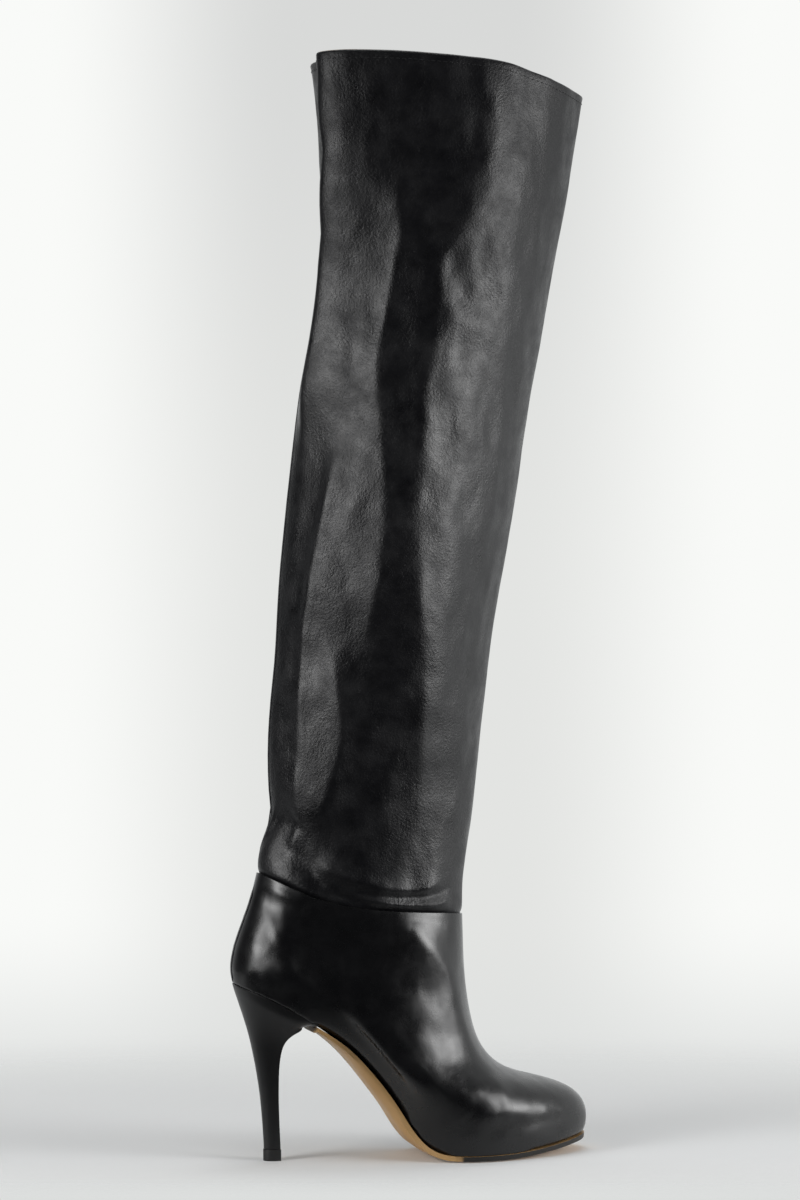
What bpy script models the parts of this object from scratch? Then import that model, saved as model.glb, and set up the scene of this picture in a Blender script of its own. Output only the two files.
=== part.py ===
"""A thigh high boot for the right foot, standing empty on its stiletto heel and forefoot.

Metres, +Z up, toe towards +X, outer (lateral) side towards -Y. Run it with
blender --background --python part.py, or from the text editor.
"""

import functools
import math

import bmesh
import bpy
import numpy as np

# Foot and sole
SOLE_REACH = 0.2205  # level distance from the back of the heel seat to the toe end of the sole line
SEAT_HEIGHT = 0.1065  # back of the heel seat above the floor
TOE_SPRING = 0.0062  # rise of the toe end of the sole line above its flat tread
SEAT_WIDTH = 0.0505
WAIST_WIDTH = 0.0330
BALL_WIDTH = 0.0760
SEAT_ROUND = 0.0225  # radius of the sole outline round the back of the seat
TOE_ROUND = 0.0155  # radius of the sole outline round the toe
TOE_SWING = 0.0092  # how far the toe lies to the inner side of the seat's middle
OUTSOLE_THICKNESS = 0.0030
WAIST_CROWN = 0.0034  # how far the waist's underside bulges past its edges
TREAD_CROWN = 0.0008
WELT = 0.0006  # how far the outsole stands out past the upper
INSOLE_THICKNESS = 0.0030

# Foot part of the upper
UPPER_WALL = 0.0020
LASTING_MARGIN = 0.0090  # the upper's edge turned in under the insole
SEAM_BACK_HEIGHT = 0.1728  # ankle seam at the back
SEAM_FRONT_HEIGHT = 0.1460  # ankle seam at the front
SEAM_SETBACK = 0.0148  # ankle seam's back, forward of the seat's back
ANKLE_LENGTH = 0.1266  # along X at the seam
ANKLE_WIDTH = 0.0690

# Shaft
SHAFT_WALL = 0.0016
SEAM_LAP = 0.0080  # how far the shaft runs down inside the foot part
COLLAR_BACK_HEIGHT = 0.6620
COLLAR_FRONT_HEIGHT = 0.6440
SHAFT_LEAN = 0.0330  # collar's back edge, forward of the seam's back edge
COLLAR_LENGTH = 0.1700
COLLAR_WIDTH = 0.1060

# Heel
TIP_SETBACK = 0.0191  # back of the heel's tip, forward of the seat's back
TIP_LENGTH = 0.0094
TIP_WIDTH = 0.0096
TOP_LIFT_HEIGHT = 0.0068
TOP_LIFT_PROUD = 0.0003  # the top lift stands this far out past the heel's tip

CLEARANCE = 0.0003  # between pieces that touch
BREAST = 0.207  # the heel's front edge, as a share of the sole line's length

# Sole line in side view, seat to toe: level share of the reach, share of the drop from
# the seat to the tread, share of the toe spring.
SOLE_LINE = (
    (0.000, 1.000, 0.0),
    (0.100, 0.905, 0.0),
    (0.213, 0.762, 0.0),
    (0.305, 0.628, 0.0),
    (0.377, 0.466, 0.0),
    (0.438, 0.293, 0.0),
    (0.490, 0.105, 0.0),
    (0.530, 0.018, 0.0),
    (0.565, 0.000, 0.0),
    (0.720, 0.000, 0.0),
    (0.800, 0.000, 0.15),
    (0.920, 0.000, 0.62),
    (1.000, 0.000, 1.0),
)

# Sole outline from above: share of the sole line, half width as shares of the seat's, the waist's
# and the ball's width, and the middle's shift to the inner side as a share of the toe swing.
SOLE_OUTLINE = (
    (0.050, 0.390, 0.000, 0.000, 0.00),
    (0.100, 0.475, 0.000, 0.000, 0.00),
    (0.150, 0.500, 0.000, 0.000, 0.00),
    (0.207, 0.492, 0.000, 0.000, -0.02),
    (0.280, 0.000, 0.640, 0.000, -0.07),
    (0.360, 0.000, 0.520, 0.000, -0.15),
    (0.430, 0.000, 0.500, 0.000, -0.22),
    (0.500, 0.000, 0.560, 0.000, -0.30),
    (0.570, 0.000, 0.000, 0.325, -0.36),
    (0.640, 0.000, 0.000, 0.440, -0.34),
    (0.710, 0.000, 0.000, 0.500, -0.18),
    (0.770, 0.000, 0.000, 0.492, 0.06),
    (0.830, 0.000, 0.000, 0.452, 0.32),
    (0.890, 0.000, 0.000, 0.380, 0.58),
    (0.950, 0.000, 0.000, 0.265, 0.83),
)

# Back of the foot part in side view: share of the height from seat to seam, share of the setback.
COUNTER = (
    (0.00, 0.000),
    (0.05, -0.040),
    (0.14, -0.082),
    (0.26, -0.026),
    (0.41, 0.156),
    (0.57, 0.420),
    (0.71, 0.650),
    (0.84, 0.825),
    (1.00, 1.000),
)

# Toe, vamp and instep in side view: share of the way back from toe to seam, share of the rise.
VAMP = (
    (0.000, 0.000),
    (-0.026, 0.056),
    (-0.021, 0.110),
    (0.021, 0.158),
    (0.085, 0.194),
    (0.190, 0.225),
    (0.300, 0.246),
    (0.462, 0.270),
    (0.609, 0.293),
    (0.713, 0.326),
    (0.797, 0.372),
    (0.866, 0.430),
    (0.908, 0.500),
    (0.940, 0.582),
    (0.966, 0.675),
    (0.983, 0.770),
    (0.993, 0.900),
    (1.000, 1.000),
)

# Ankle seam in side view: share of its length, share of its rise from front to back.
ANKLE_SEAM = (
    (0.00, 1.00),
    (0.03, 0.93),
    (0.14, 0.68),
    (0.24, 0.47),
    (0.35, 0.33),
    (0.46, 0.24),
    (0.60, 0.17),
    (0.78, 0.11),
    (0.90, 0.07),
    (1.00, 0.00),
)

# Collar edge in side view: share of its length, share of its rise from front to back.
COLLAR_EDGE = (
    (0.00, 0.97),
    (0.08, 1.00),
    (0.25, 0.95),
    (0.43, 0.84),
    (0.62, 0.70),
    (0.74, 0.47),
    (0.85, 0.23),
    (0.95, 0.05),
    (1.00, 0.00),
)

# Fullness of the foot part past a straight wall from sole to seam, as shares of the ball width.
# Rows go up the foot, columns go from the heel to the toe.
SWELL_STATIONS = (0.0, 0.10, 0.20, 0.30, 0.43, 0.58, 0.70, 0.82, 0.92, 1.0)
SWELL = (
    (0.00, (0.000, 0.000, 0.000, 0.000, 0.000, 0.000, 0.000, 0.000, 0.000, 0.000)),
    (0.06, (0.024, 0.032, 0.030, 0.029, 0.041, 0.036, 0.026, 0.022, 0.022, 0.018)),
    (0.15, (0.046, 0.064, 0.060, 0.057, 0.081, 0.070, 0.040, 0.034, 0.036, 0.026)),
    (0.35, (0.040, 0.080, 0.080, 0.078, 0.107, 0.087, 0.036, 0.034, 0.044, 0.045)),
    (0.60, (-0.037, -0.005, 0.010, 0.042, 0.080, 0.056, 0.010, 0.006, 0.012, 0.016)),
    (0.80, (-0.071, -0.055, -0.034, -0.004, 0.029, 0.018, -0.010, -0.020, -0.016, -0.018)),
    (1.00, (0.000, 0.000, 0.000, 0.000, 0.000, 0.000, 0.000, 0.000, 0.000, 0.000)),
)

# Shaft: share of the height, share of the lean, share of the collar length, a width given as a
# share of the way from the ankle's width to the collar's, and how much sharper than an ellipse
# its section is at the back and at the front. Below zero it is blunter.
SHAFT = (
    (0.000, 0.000, 0.745, 0.000, 0.00, 0.00),
    (0.020, 0.010, 0.741, 0.030, 0.00, 0.00),
    (0.050, 0.150, 0.719, 0.040, 0.03, 0.05),
    (0.075, 0.290, 0.703, 0.060, 0.06, 0.12),
    (0.100, 0.250, 0.724, 0.100, 0.10, 0.20),
    (0.140, 0.224, 0.743, 0.170, 0.18, 0.32),
    (0.200, 0.265, 0.752, 0.290, 0.28, 0.46),
    (0.280, 0.370, 0.757, 0.480, 0.32, 0.54),
    (0.360, 0.437, 0.779, 0.660, 0.34, 0.58),
    (0.450, 0.580, 0.800, 0.770, 0.34, 0.60),
    (0.530, 0.711, 0.815, 0.790, 0.30, 0.60),
    (0.580, 0.870, 0.805, 0.790, 0.24, 0.60),
    (0.640, 0.980, 0.812, 0.800, 0.16, 0.60),
    (0.700, 1.073, 0.831, 0.830, 0.02, 0.60),
    (0.780, 1.149, 0.855, 0.880, -0.18, 0.58),
    (0.860, 1.155, 0.901, 0.940, -0.34, 0.55),
    (0.930, 1.102, 0.946, 0.980, -0.42, 0.52),
    (1.000, 1.000, 1.000, 1.000, -0.46, 0.50),
)

# Heel from seat to tip: share of the back edge's drop and setback, share of the breast's drop
# and of its run forward from the tip, and share of the width gained from tip to seat.
HEEL = (
    (0.041, 0.065, 0.030, 0.930, 0.950),
    (0.089, 0.151, 0.036, 0.650, 0.800),
    (0.157, 0.271, 0.056, 0.335, 0.610),
    (0.224, 0.387, 0.100, 0.125, 0.445),
    (0.297, 0.502, 0.160, 0.010, 0.320),
    (0.378, 0.603, 0.249, -0.056, 0.232),
    (0.481, 0.714, 0.367, -0.082, 0.160),
    (0.582, 0.804, 0.492, -0.079, 0.108),
    (0.684, 0.884, 0.610, -0.071, 0.068),
    (0.809, 0.940, 0.768, -0.046, 0.034),
    (0.916, 0.980, 0.899, -0.020, 0.014),
    (1.000, 1.000, 1.000, 0.000, 0.000),
)

# How the waist's crown comes and goes: share of the sole line, share of the crown.
WAIST_BULGE = (
    (BREAST, 0.3),
    (0.30, 0.8),
    (0.42, 1.0),
    (0.52, 0.8),
    (0.60, 0.0),
)

CROWN_FULLNESS = 1.6  # above 1, the crown is flat along the middle of the sole
END_SHARE = 0.15  # the share of the sole line that each round end takes up

# How finely the surfaces are divided
FOOT_COLUMNS = 56
FOOT_RINGS = 18
SHAFT_COLUMNS = 40
SHAFT_RINGS = 24
SOLE_COLUMNS = 8
MIDDLE_CROWDING = 0.3  # draws the foot's columns together at the waist and the bend of the sole


def curve(xs, ys):
    """A smooth curve through the rows that never swings past them."""
    xs = np.asarray(xs, float)
    ys = np.asarray(ys, float)
    steps = np.diff(xs)
    rises = np.diff(ys) / steps
    slopes = np.empty_like(ys)
    slopes[0] = rises[0]
    slopes[-1] = rises[-1]
    for i in range(1, len(xs) - 1):
        before, after = rises[i - 1], rises[i]
        same_way = before * after > 0
        slopes[i] = 2 * before * after / (before + after) if same_way else 0.0

    def read(x):
        x = min(max(x, xs[0]), xs[-1])
        i = int(np.clip(np.searchsorted(xs, x) - 1, 0, len(steps) - 1))
        p = (x - xs[i]) / steps[i]
        rise = (2 * p - 3) * p * p
        return (
            (1 + rise) * ys[i]
            - rise * ys[i + 1]
            + steps[i] * p * (1 - p) * ((1 - p) * slopes[i] - p * slopes[i + 1])
        )

    return read


def path(points):
    """A smooth path through side view points, read by a share of its length."""
    points = np.asarray(points, float)
    runs = np.linalg.norm(np.diff(points, axis=0), axis=1)
    shares = np.concatenate([[0.0], np.cumsum(runs)]) / runs.sum()
    along_x = curve(shares, points[:, 0])
    along_z = curve(shares, points[:, 1])
    return lambda share: np.array([along_x(share), along_z(share)])


def column(table, index):
    return [row[index] for row in table]


def between(a, b, share):
    return a + (b - a) * share


TREAD_HEIGHT = CLEARANCE + OUTSOLE_THICKNESS + TREAD_CROWN


def sole_line_points():
    """The sole line as a close polyline, run on straight at both ends."""
    drop = curve(column(SOLE_LINE, 0), column(SOLE_LINE, 1))
    spring = curve(column(SOLE_LINE, 0), column(SOLE_LINE, 2))
    points = np.array(
        [
            (
                share * SOLE_REACH,
                TREAD_HEIGHT + drop(share) * (SEAT_HEIGHT - TREAD_HEIGHT) + spring(share) * TOE_SPRING,
            )
            for share in np.linspace(0, 1, 241)
        ]
    )
    before = points[0] + (points[0] - points[1]) * 4
    after = points[-1] + (points[-1] - points[-2]) * 4
    return np.vstack([before, points, after])


LINE = sole_line_points()
LINE_RUN = np.concatenate([[0.0], np.cumsum(np.linalg.norm(np.diff(LINE, axis=0), axis=1))])
LINE_RUN = LINE_RUN - LINE_RUN[1]
SOLE_LENGTH = LINE_RUN[-2]


def on_line(run):
    return np.array([np.interp(run, LINE_RUN, LINE[:, 0]), np.interp(run, LINE_RUN, LINE[:, 1])])


def on_sole(run, y, lift):
    """A point of the sole: its run along the sole line, its place across and its lift off it."""
    reach = 0.004
    way = on_line(run + reach) - on_line(run - reach)
    way = way / np.linalg.norm(way)
    x, z = on_line(run) + lift * np.array([-way[1], way[0]])
    return (x, y, z)


def outline_curves():
    """Fullness and middle of the sole outline, with its round ends taken from their radii."""
    stations = column(SOLE_OUTLINE, 0)
    fullness = []
    for t, seat, waist, ball, _ in SOLE_OUTLINE:
        half = seat * SEAT_WIDTH + waist * WAIST_WIDTH + ball * BALL_WIDTH
        fullness.append(half / (2 * math.sqrt(t * (1 - t))))
    ends = [math.sqrt(radius * SOLE_LENGTH / 2) for radius in (SEAT_ROUND, TOE_ROUND)]
    middles = [0.0] + [shift * TOE_SWING for shift in column(SOLE_OUTLINE, 4)] + [TOE_SWING]
    stations = [0.0] + stations + [1.0]
    return curve(stations, [ends[0]] + fullness + [ends[1]]), curve(stations, middles)


sole_fullness, sole_middle = outline_curves()


def station(turn):
    """Share of the way from heel to toe at a turn round the boot, from the back by the outer side."""
    return (1 - math.cos(turn)) / 2


def outline(turn):
    t = station(turn)
    return np.array([t * SOLE_LENGTH, sole_middle(t) - sole_fullness(t) * math.sin(turn)])


def moved_outline(turn, inset):
    step = 0.01
    way = outline(turn + step) - outline(turn - step)
    way = way / np.linalg.norm(way)
    return outline(turn) - inset * np.array([way[1], -way[0]])


@functools.cache
def moved_sides(inset):
    """The sole outline moved inwards, as close points of its outer and its inner side."""
    half_way = np.linspace(0, math.pi, 241)
    outer = np.array([moved_outline(turn, inset) for turn in half_way])
    inner = np.array([moved_outline(2 * math.pi - turn, inset) for turn in half_way])
    return outer, inner


def edge(turn, inset):
    """A point of the moved outline, as a run and a place across. Away from the round ends its
    run is the outline's own, so that pieces laid on each other bend at the same rows."""
    t = station(turn)
    back_pull = max(0.0, 1 - t / END_SHARE) ** 2
    toe_pull = max(0.0, 1 - (1 - t) / END_SHARE) ** 2
    run = t * SOLE_LENGTH + inset * (back_pull - toe_pull)
    side = moved_sides(inset)[0 if turn <= math.pi else 1]
    return np.array([run, np.interp(run, side[:, 0], side[:, 1])])


def side_patch(bottom, top, back, front):
    """A side view surface between four edges, read by a share up and a share from back to front."""

    def read(up, t):
        inside = between(bottom(t), top(t), up)
        at_back = back(up) - between(bottom(0.0), top(0.0), up)
        at_front = front(up) - between(bottom(1.0), top(1.0), up)
        return inside + (1 - t) * at_back + t * at_front

    return read


def ring_edge(table, back_x, length, back_z, front_z):
    rise = curve(column(table, 0), column(table, 1))
    return lambda t: np.array([back_x + t * length, between(front_z, back_z, rise(t))])


seam_edge = ring_edge(ANKLE_SEAM, SEAM_SETBACK, ANKLE_LENGTH, SEAM_BACK_HEIGHT, SEAM_FRONT_HEIGHT)
collar_edge = ring_edge(
    COLLAR_EDGE, SEAM_SETBACK + SHAFT_LEAN, COLLAR_LENGTH, COLLAR_BACK_HEIGHT, COLLAR_FRONT_HEIGHT
)


def foot_side_view():
    toe = on_line(SOLE_LENGTH)
    counter = curve(column(COUNTER, 0), column(COUNTER, 1))
    seam_front = seam_edge(1.0)
    vamp = path([toe + np.array(row) * (seam_front - toe) for row in VAMP])
    return side_patch(
        lambda t: on_line(t * SOLE_LENGTH),
        seam_edge,
        lambda up: np.array(
            [SEAM_SETBACK * counter(up), between(on_line(0.0)[1], SEAM_BACK_HEIGHT, up)]
        ),
        vamp,
    )


def swell_surface():
    stations = SWELL_STATIONS
    along = [curve(stations, row) for row in column(SWELL, 1)]
    ups = column(SWELL, 0)
    return lambda up, t: curve(ups, [read(t) for read in along])(up) * BALL_WIDTH


foot_side = foot_side_view()
foot_swell = swell_surface()


def foot_point(up, turn):
    """The foot part's outer surface, from the sole (0) to the ankle seam (1)."""
    t = station(turn)
    x, z = foot_side(up, t)
    half = between(sole_fullness(t), ANKLE_WIDTH / 2, up) + foot_swell(up, t)
    y = sole_middle(t) * (1 - up) - half * math.sin(turn)
    return np.array([x, y, z])


def foot_inset(up, turn, inset):
    """A point under the foot part's outer surface."""
    step = 0.01
    across = foot_point(up, turn + step) - foot_point(up, turn - step)
    upward = foot_point(up, turn) - foot_point(up - step, turn)
    normal = np.cross(across, upward)
    return foot_point(up, turn) - inset * normal / np.linalg.norm(normal)


def shaft_side_view():
    lean = curve(column(SHAFT, 0), column(SHAFT, 1))
    length = curve(column(SHAFT, 0), column(SHAFT, 2))
    foot_share = ANKLE_LENGTH / COLLAR_LENGTH
    table_share = SHAFT[0][2]

    def back(up):
        x = SEAM_SETBACK + SHAFT_LEAN * lean(up)
        return np.array([x, between(seam_edge(0.0)[1], collar_edge(0.0)[1], up)])

    def front(up):
        fitted = length(up) + (foot_share - table_share) * (1 - up)
        x = back(up)[0] + COLLAR_LENGTH * fitted
        return np.array([x, between(seam_edge(1.0)[1], collar_edge(1.0)[1], up)])

    return side_patch(seam_edge, collar_edge, back, front)


shaft_side = shaft_side_view()
shaft_width, shaft_back_edge, shaft_front_edge = [
    curve(column(SHAFT, 0), column(SHAFT, index)) for index in (3, 4, 5)
]


def shaft_point(up, turn):
    """The shaft's outer surface, from the ankle seam (0) to the collar (1)."""
    x, z = shaft_side(up, station(turn))
    half = between(ANKLE_WIDTH, COLLAR_WIDTH, shaft_width(up)) / 2
    sharpness = between(shaft_back_edge(up), shaft_front_edge(up), station(turn))
    side = math.sin(turn)
    return np.array([x, -half * math.copysign(abs(side) ** (1 + sharpness), side), z])


def turns(columns):
    return [2 * math.pi * i / columns for i in range(columns)]


def foot_turns():
    return [turn + MIDDLE_CROWDING / 2 * math.sin(2 * turn) for turn in turns(FOOT_COLUMNS)]


def sole_stops(start, end):
    """The foot's own columns between two turns, with the two turns themselves."""
    room = math.pi / FOOT_COLUMNS
    inner = [turn for turn in foot_turns() if start + room < turn < end - room]
    return [start] + inner + [end]


def loft(bm, rings):
    """Quads between closed rings of equal length. Returns the rings as vertices."""
    made = [[bm.verts.new(point) for point in ring] for ring in rings]
    for lower, upper in zip(made, made[1:]):
        count = len(lower)
        for i in range(count):
            j = (i + 1) % count
            bm.faces.new((lower[i], lower[j], upper[j], upper[i]))
    return made


def sheet_faces(bm, rows, facing_up):
    """Faces over rows that run from heel to toe, each from the outer to the inner side."""
    for first, second in zip(rows, rows[1:]):
        for i in range(max(len(first), len(second)) - 1):
            corners = [first[i]] if len(first) > 1 else [first[0]]
            corners += [second[i], second[i + 1]] if len(second) > 1 else [second[0]]
            corners += [first[i + 1]] if len(first) > 1 else []
            bm.faces.new(corners if facing_up else corners[::-1])


def rim(rows):
    """The border of a sheet, from its first row by the outer side, round and back."""
    border = [row[0] for row in rows]
    if len(rows[-1]) > 1:
        border += rows[-1][1:-1]
    border += [row[-1] for row in reversed(rows) if len(row) > 1]
    if len(rows[0]) > 1:
        border += rows[0][1:-1][::-1]
    return border


def rows_as_vertices(bm, rows):
    return [[bm.verts.new(point) for point in row] for row in rows]


def close_with_wall(bm, top, bottom):
    upper = rim(top)
    lower = rim(bottom)
    for i in range(len(upper)):
        j = (i + 1) % len(upper)
        bm.faces.new((lower[i], lower[j], upper[j], upper[i]))


def sole_rows(turn_list, inset, height):
    """Rows across the sole between the two edges. height takes a station and a share across."""
    rows = []
    for turn in turn_list:
        outer = edge(turn, inset)
        inner = edge(2 * math.pi - turn, inset)
        if np.linalg.norm(outer - inner) < 1e-9:
            rows.append([on_sole(outer[0], outer[1], height(station(turn), 0.0))])
            continue
        row = []
        for i in range(SOLE_COLUMNS + 1):
            run, y = between(outer, inner, i / SOLE_COLUMNS)
            across = 2 * i / SOLE_COLUMNS - 1
            row.append(on_sole(run, y, height(station(turn), across)))
        rows.append(row)
    return rows


def finish(name, bm, collection, parent, material):
    mesh = bpy.data.meshes.new(name)
    bm.to_mesh(mesh)
    bm.free()
    mesh.materials.append(material)
    mesh.shade_smooth()
    mesh.set_sharp_from_angle(angle=math.radians(40))
    piece = bpy.data.objects.new(name, mesh)
    piece.parent = parent
    collection.objects.link(piece)
    return piece


def give_wall(piece, thickness):
    wall = piece.modifiers.new("Wall", "SOLIDIFY")
    wall.thickness = thickness
    wall.offset = -1.0
    wall.use_even_offset = True
    wall.use_quality_normals = True


def leather(name, colour, roughness, coat):
    material = bpy.data.materials.new(name)
    material.use_nodes = True
    shader = material.node_tree.nodes["Principled BSDF"]
    shader.inputs["Base Color"].default_value = (*colour, 1.0)
    shader.inputs["Roughness"].default_value = roughness
    shader.inputs["Metallic"].default_value = 0.0
    shader.inputs["Coat Weight"].default_value = coat
    return material


def make_upper(collection, parent):
    """The foot part: a hollow shell with its edge turned in under the insole."""
    bm = bmesh.new()
    columns = foot_turns()
    rings = [
        [on_sole(*edge(turn, inset), 0.0) for turn in columns]
        for inset in (LASTING_MARGIN, LASTING_MARGIN / 2)
    ]
    for i in range(FOOT_RINGS + 1):
        up = (i / FOOT_RINGS) ** 1.25
        rings.append([foot_point(up, turn) for turn in columns])
    loft(bm, rings)
    calf = leather("polished_calf", (0.012, 0.012, 0.014), 0.28, 0.4)
    piece = finish("upper", bm, collection, parent, calf)
    give_wall(piece, UPPER_WALL)


def make_shaft(collection, parent):
    """The leg part: lapped inside the foot part, rolled out over its edge, open at the collar."""
    bm = bmesh.new()
    columns = turns(SHAFT_COLUMNS)
    under = UPPER_WALL + CLEARANCE
    lap = SEAM_LAP / (SEAM_BACK_HEIGHT - SEAT_HEIGHT)
    rings = [[foot_inset(up, turn, under) for turn in columns] for up in (1 - lap, 1 - lap / 2, 1.0)]
    rise = COLLAR_BACK_HEIGHT - SEAM_BACK_HEIGHT
    over = UPPER_WALL * 1.1 / rise
    for i in range(SHAFT_RINGS):
        up = between(over, 1.0, (i / (SHAFT_RINGS - 1)) ** 1.35)
        rings.append([shaft_point(up, turn) for turn in columns])
    loft(bm, rings)
    nappa = leather("soft_nappa", (0.012, 0.012, 0.014), 0.42, 0.1)
    piece = finish("shaft", bm, collection, parent, nappa)
    give_wall(piece, SHAFT_WALL)


def make_insole(collection, parent):
    bm = bmesh.new()
    fit = UPPER_WALL + CLEARANCE
    stops = sole_stops(0.0, math.pi)
    top = rows_as_vertices(bm, sole_rows(stops, fit, lambda t, across: fit + INSOLE_THICKNESS))
    bottom = rows_as_vertices(bm, sole_rows(stops, fit, lambda t, across: fit))
    sheet_faces(bm, top, True)
    sheet_faces(bm, bottom, False)
    close_with_wall(bm, top, bottom)
    lining = leather("lining_leather", (0.42, 0.30, 0.19), 0.6, 0.0)
    finish("insole", bm, collection, parent, lining)


def crown(t, across):
    """How far the outsole's underside bulges: rounded at its edges and flat along its middle."""
    waist = curve(column(WAIST_BULGE, 0), column(WAIST_BULGE, 1))(t)
    height = between(TREAD_CROWN, WAIST_CROWN, waist)
    return height * min(1.0, CROWN_FULLNESS * (1 - across * across))


def breast_turn(gap):
    """The turn at which the sole's edge passes the heel's front, moved forward by a gap."""
    return math.acos(1 - 2 * (BREAST + gap / SOLE_LENGTH))


def make_outsole(collection, parent):
    bm = bmesh.new()
    stops = sole_stops(breast_turn(CLEARANCE), math.pi)
    top = sole_rows(stops, -WELT, lambda t, across: -CLEARANCE)
    under = sole_rows(
        stops, 0.0, lambda t, across: -CLEARANCE - OUTSOLE_THICKNESS - crown(t, across)
    )
    top = rows_as_vertices(bm, top)
    under = rows_as_vertices(bm, under)
    sheet_faces(bm, top, True)
    sheet_faces(bm, under, False)
    close_with_wall(bm, top, under)
    sole_leather = leather("sole_leather", (0.45, 0.28, 0.13), 0.5, 0.1)
    finish("outsole", bm, collection, parent, sole_leather)


def seat_stops():
    return sole_stops(0.0, breast_turn(0.0))


def heel_rows(back, front, width, seat):
    """The seat's own rows drawn in to a smaller section between two side view points."""
    seat_back = seat[0][0]
    seat_front = seat[-1][0]
    rows = []
    for row in seat:
        share = (row[0][0] - seat_back[0]) / (seat_front[0] - seat_back[0])
        x, z = between(back, front, share)
        rows.append([(x, point[1] * width / SEAT_WIDTH, z) for point in row])
    return rows


def make_heel(collection, parent):
    """The heel block: the seat's outline above, drawn down to the slim tip."""
    bm = bmesh.new()
    seat = sole_rows(seat_stops(), 0.0, lambda t, across: -CLEARANCE)
    seat_back = np.array([seat[0][0][0], seat[0][0][2]])
    seat_front = np.array([seat[-1][0][0], seat[-1][0][2]])
    tip_height = TOP_LIFT_HEIGHT + CLEARANCE
    tip_back = np.array([TIP_SETBACK, tip_height])
    tip_front = np.array([TIP_SETBACK + TIP_LENGTH, tip_height])
    sections = [seat]
    for back_drop, setback, front_drop, run, width in HEEL:
        back = np.array(
            [between(seat_back[0], tip_back[0], setback), between(seat_back[1], tip_back[1], back_drop)]
        )
        front = np.array(
            [between(tip_front[0], seat_front[0], run), between(seat_front[1], tip_front[1], front_drop)]
        )
        sections.append(heel_rows(back, front, between(TIP_WIDTH, SEAT_WIDTH, width), seat))
    rings = loft(bm, [rim(section) for section in reversed(sections)])
    cap_section(bm, sections[-1], rings[0], False)
    cap_section(bm, seat, rings[-1], True)
    cover = leather("heel_cover", (0.012, 0.012, 0.014), 0.3, 0.4)
    finish("heel", bm, collection, parent, cover)


def cap_section(bm, section, ring, facing_up):
    """Closes a lofted end with the section's own rows, whose border is already there."""
    border = dict(zip([tuple(point) for point in rim(section)], ring))
    rows = [
        [border.get(tuple(point)) or bm.verts.new(point) for point in row] for row in section
    ]
    sheet_faces(bm, rows, facing_up)


def make_top_lift(collection, parent):
    bm = bmesh.new()
    seat = sole_rows(seat_stops(), 0.0, lambda t, across: 0.0)
    back_x = TIP_SETBACK - TOP_LIFT_PROUD
    front_x = TIP_SETBACK + TIP_LENGTH + TOP_LIFT_PROUD
    width = TIP_WIDTH + 2 * TOP_LIFT_PROUD
    ends = []
    for z in (0.0, TOP_LIFT_HEIGHT):
        rows = heel_rows(np.array([back_x, z]), np.array([front_x, z]), width, seat)
        ends.append(rows_as_vertices(bm, rows))
    sheet_faces(bm, ends[0], False)
    sheet_faces(bm, ends[1], True)
    close_with_wall(bm, ends[1], ends[0])
    rubber = leather("top_lift_rubber", (0.02, 0.02, 0.02), 0.6, 0.0)
    finish("top_lift", bm, collection, parent, rubber)


def clear_scene():
    for thing in list(bpy.data.objects):
        bpy.data.objects.remove(thing, do_unlink=True)


def middle_of_length():
    """The middle of the boot's length, where its origin lies."""
    toe = max(foot_point(up, math.pi)[0] for up in np.linspace(0, 1, 60))
    toe = max(toe, collar_edge(1.0)[0], on_sole(*edge(math.pi, -WELT), -CLEARANCE)[0])
    heel = min(foot_point(up, 0.0)[0] for up in np.linspace(0, 1, 60))
    return (toe + heel) / 2


def main():
    clear_scene()
    collection = bpy.data.collections.new("thigh_high_boot")
    bpy.context.scene.collection.children.link(collection)
    origin = bpy.data.objects.new("boot_origin", None)
    origin.location = (-middle_of_length(), 0.0, 0.0)
    collection.objects.link(origin)
    make_upper(collection, origin)
    make_shaft(collection, origin)
    make_insole(collection, origin)
    make_outsole(collection, origin)
    make_heel(collection, origin)
    make_top_lift(collection, origin)


main()
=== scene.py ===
"""The looks of a thigh high boot in black leather, for the right foot.

Metres, +Z up, toe towards +X, outer side towards -Y, as in the frame.
"""

import math

import bmesh
import bpy
import numpy as np
from mathutils import Matrix, Vector, noise
from mathutils.bvhtree import BVHTree


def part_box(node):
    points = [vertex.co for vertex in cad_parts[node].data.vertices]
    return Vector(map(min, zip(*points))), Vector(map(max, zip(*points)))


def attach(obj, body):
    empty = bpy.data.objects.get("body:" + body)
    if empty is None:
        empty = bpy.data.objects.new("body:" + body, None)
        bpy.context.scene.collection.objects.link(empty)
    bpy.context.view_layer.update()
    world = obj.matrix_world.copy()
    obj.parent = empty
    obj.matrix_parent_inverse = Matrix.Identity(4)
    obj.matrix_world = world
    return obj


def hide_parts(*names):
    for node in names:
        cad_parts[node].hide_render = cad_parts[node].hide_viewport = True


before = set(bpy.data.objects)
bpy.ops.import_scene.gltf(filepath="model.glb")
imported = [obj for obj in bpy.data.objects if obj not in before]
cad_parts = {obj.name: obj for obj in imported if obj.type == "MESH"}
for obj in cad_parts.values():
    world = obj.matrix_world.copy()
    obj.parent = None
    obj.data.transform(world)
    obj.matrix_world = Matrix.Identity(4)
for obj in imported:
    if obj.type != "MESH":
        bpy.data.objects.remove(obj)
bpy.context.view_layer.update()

MM = 0.001

# The photograph's camera: level, at shin height, and a little behind the outer side
CAMERA_YAW = math.radians(13)
CAMERA_DISTANCE = 2.112
CAMERA_AIM = Vector((-0.01165, -0.01725, 0.336))
CAMERA_LENS = 105.6
FRAME_HEIGHT = 36.0
FORWARD = Vector((math.sin(CAMERA_YAW), math.cos(CAMERA_YAW), 0))
RIGHT = Vector((math.cos(CAMERA_YAW), -math.sin(CAMERA_YAW), 0))

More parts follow.
